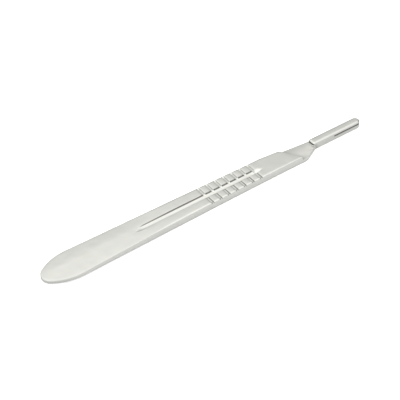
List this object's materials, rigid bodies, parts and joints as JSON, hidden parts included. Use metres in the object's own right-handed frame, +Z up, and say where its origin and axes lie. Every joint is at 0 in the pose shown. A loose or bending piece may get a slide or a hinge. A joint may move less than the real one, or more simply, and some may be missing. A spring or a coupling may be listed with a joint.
{
  "type": "scalpel handle",
  "caption": "Flat one-piece surgical scalpel handle with ribbed grip, fuller channels, oblique blade seat and slotted tang for a detachable blade.",
  "frame": {"origin": "middle of the underside of the bounding box, with the handle lying flat", "axes": "+X along the handle towards the blade tang, +Y across towards the long flank where the blade's spine lies, +Z up through the face with the blade seat"},
  "size_m": [0.137, 0.0122, 0.0032],
  "materials": {
    "handle": "satin, fine tumble-polished stainless steel"
  },
  "bodies": {
    "root": {"handle": "handle"}
  },
  "joints": []
}
